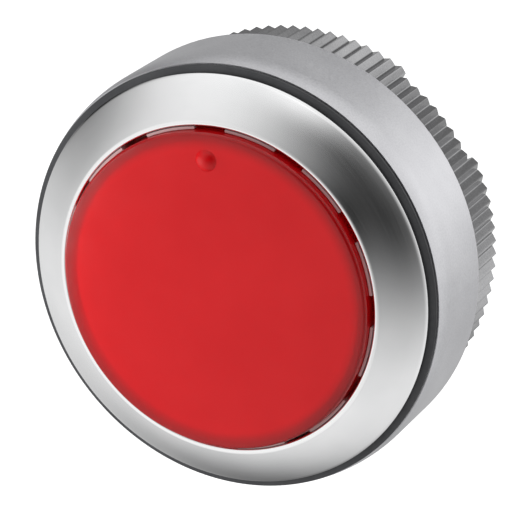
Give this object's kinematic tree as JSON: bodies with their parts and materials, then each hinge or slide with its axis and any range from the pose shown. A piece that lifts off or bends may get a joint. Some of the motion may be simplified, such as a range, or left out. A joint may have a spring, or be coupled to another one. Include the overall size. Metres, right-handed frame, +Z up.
{
  "type": "illuminated push button head",
  "caption": "Round metal-ringed illuminated push button head with a flush red lens, panel gasket, smooth clamping collar and knurled ring nut.",
  "frame": {"origin": "on the button's axis, in the plane of the panel's front face, which is the gasket's rear face", "axes": "+Y along the axis from the button back through the panel, +Z up to the marker dot, +X to the right seen from the front"},
  "size_m": [0.0368, 0.0232, 0.0368],
  "materials": {
    "satin_metal": "satin chrome plated, bright inner lip",
    "matt_metal": "matt silver, fine blasted",
    "cast_metal": "die cast, machined thread",
    "seal_rubber": "dark matt elastomer",
    "pale_silicone": "natural silicone",
    "red_lens": "translucent red, gloss with a fine grain",
    "opal_plastic": "opal white",
    "white_plastic": "moulded off-white",
    "clear_plastic": "clear, polished",
    "grey_plastic": "moulded grey acetal",
    "black_plastic": "moulded black, fine texture",
    "steel": "spring steel"
  },
  "bodies": {
    "housing": {"front_bezel": "satin_metal", "body_sleeve": "cast_metal", "panel_gasket": "seal_rubber", "front_seal": "seal_rubber", "return_spring": "steel", "spring_washer": "steel", "guide_bush": "grey_plastic", "guide_key": "steel", "rear_cover": "black_plastic", "retaining_ring": "steel"},
    "collar_assembly": {"thrust_collar": "matt_metal", "collar_key": "steel", "slip_washer": "steel"},
    "knurled_nut": {"ring_nut": "matt_metal"},
    "button": {"lens_cap": "red_lens", "diffuser": "opal_plastic", "lens_holder": "white_plastic", "lens_seal": "pale_silicone", "plunger": "white_plastic", "light_guide": "clear_plastic", "stop_ring": "steel"}
  },
  "joints": [
    {"name": "button_press", "type": "slide", "parent": "housing", "child": "button", "axis": [0, 1, 0], "range_m": [0, 0.003], "stiffness_N_per_m": 900, "springref_m": -0.004, "deforming": ["return_spring"]},
    {"name": "collar_slide", "type": "slide", "parent": "housing", "child": "collar_assembly", "axis": [0, 1, 0], "range_m": [0, 0.0045]},
    {"name": "nut_turn", "type": "hinge", "parent": "collar_assembly", "child": "knurled_nut", "pos_m": [0, 0.01125, 0], "axis": [0, 1, 0], "range_deg": [0, 1080]}
  ],
  "couplings": [
    {"joint": "nut_turn", "follows": "collar_slide", "rad_per_m": 4188.8}
  ]
}
